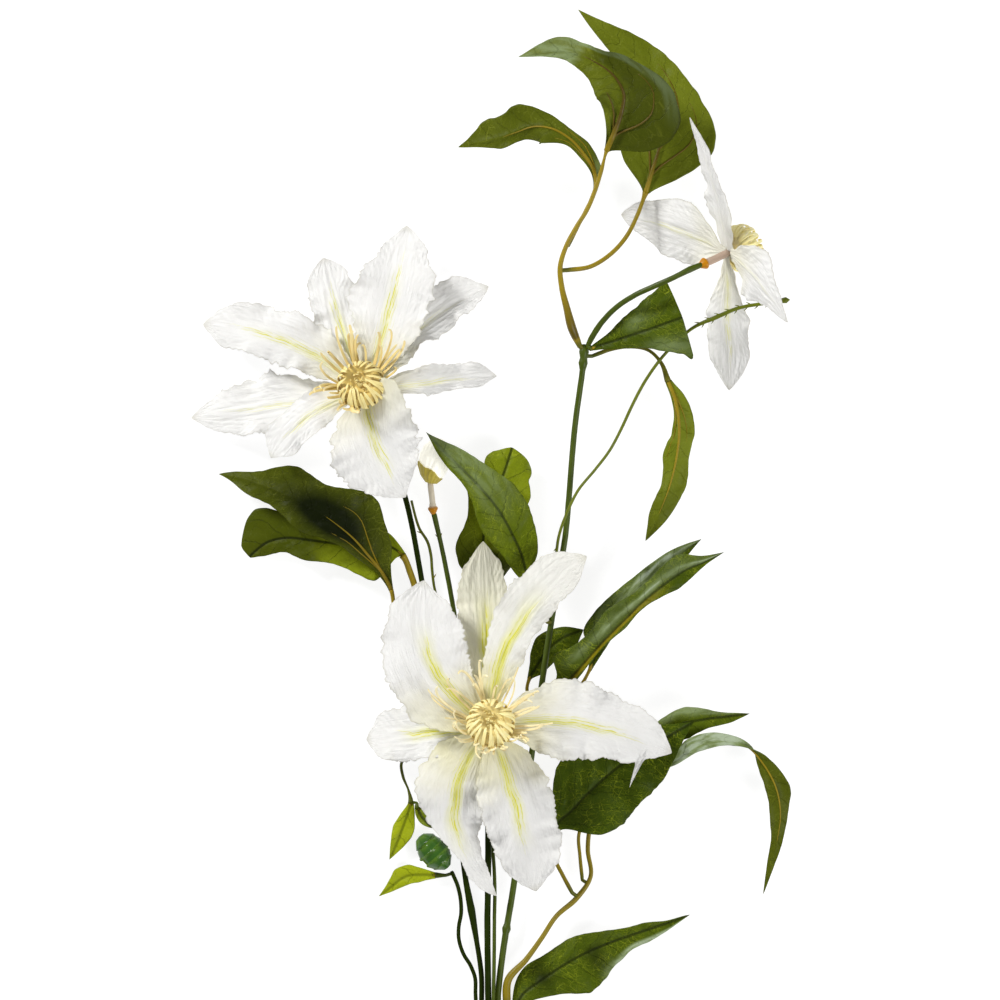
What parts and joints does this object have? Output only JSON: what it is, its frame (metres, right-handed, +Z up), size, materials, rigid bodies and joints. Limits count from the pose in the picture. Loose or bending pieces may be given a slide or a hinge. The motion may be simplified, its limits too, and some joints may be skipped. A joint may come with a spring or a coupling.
{
  "type": "artificial clematis spray",
  "caption": "Cut spray of artificial clematis lying face up: open white blooms with domed stamens, closed buds, pointed leaves and thin stems joined in one bare main stem.",
  "frame": {"origin": "centre of the bounding box in plan, on the surface the spray lies on", "axes": "+Y runs along the spray from the cut end of the main stem to the highest leaf, +Z is up, away from the surface, and +X is to the right as seen from above with +Y up the page"},
  "size_m": [0.24, 0.5656, 0.0598],
  "materials": {
    "petal": "thin white silk, finely creased, yellow-green towards the base",
    "leaf": "printed leaf cloth with a soft sheen and fine pale veins",
    "stem": "satin moulded dark green, ringed at the nodes",
    "stamen": "matt cream moulded strips and threads",
    "collar": "pinkish cream sleeve with a glossy orange-brown ball",
    "bud": "glossy green moulded scales"
  },
  "bodies": {
    "root": {"main_stem": "stem", "left_flower_stem": "stem", "centre_flower_stem": "stem", "white_bud_stem": "stem", "right_flower_stem": "stem", "green_bud_stem": "stem", "right_tendril": "stem", "left_tendril": "stem", "upper_right_leaf": "leaf", "upper_centre_leaf": "leaf", "upper_left_leaf": "leaf", "folded_leaf": "leaf", "hanging_leaf": "leaf", "left_leaf": "leaf", "left_back_leaf": "leaf", "middle_leaf": "leaf", "middle_back_leaf": "leaf", "long_right_leaf": "leaf", "long_right_back_leaf": "leaf", "small_right_leaf": "leaf", "broad_right_leaf": "leaf", "far_right_leaf": "leaf", "drooping_leaf": "leaf", "bottom_leaf": "leaf", "bud_leaf_upper": "leaf", "bud_leaf_inner": "leaf", "bud_leaf_lower": "leaf", "left_petal_1": "petal", "left_petal_2": "petal", "left_petal_3": "petal", "left_petal_4": "petal", "left_petal_5": "petal", "left_petal_6": "petal", "left_petal_7": "petal", "left_petal_8": "petal", "centre_petal_1": "petal", "centre_petal_2": "petal", "centre_petal_3": "petal", "centre_petal_4": "petal", "centre_petal_5": "petal", "centre_petal_6": "petal", "centre_petal_7": "petal", "right_petal_1": "petal", "right_petal_2": "petal", "right_petal_3": "petal", "right_petal_4": "petal", "left_dome": "stamen", "centre_dome": "stamen", "right_dome": "stamen", "left_stamens": "stamen", "centre_stamens": "stamen", "right_stamens": "stamen", "left_neck": "collar", "centre_neck": "collar", "right_neck": "collar", "white_bud_neck": "collar", "white_bud": "petal", "green_bud": "bud"}
  },
  "joints": []
}
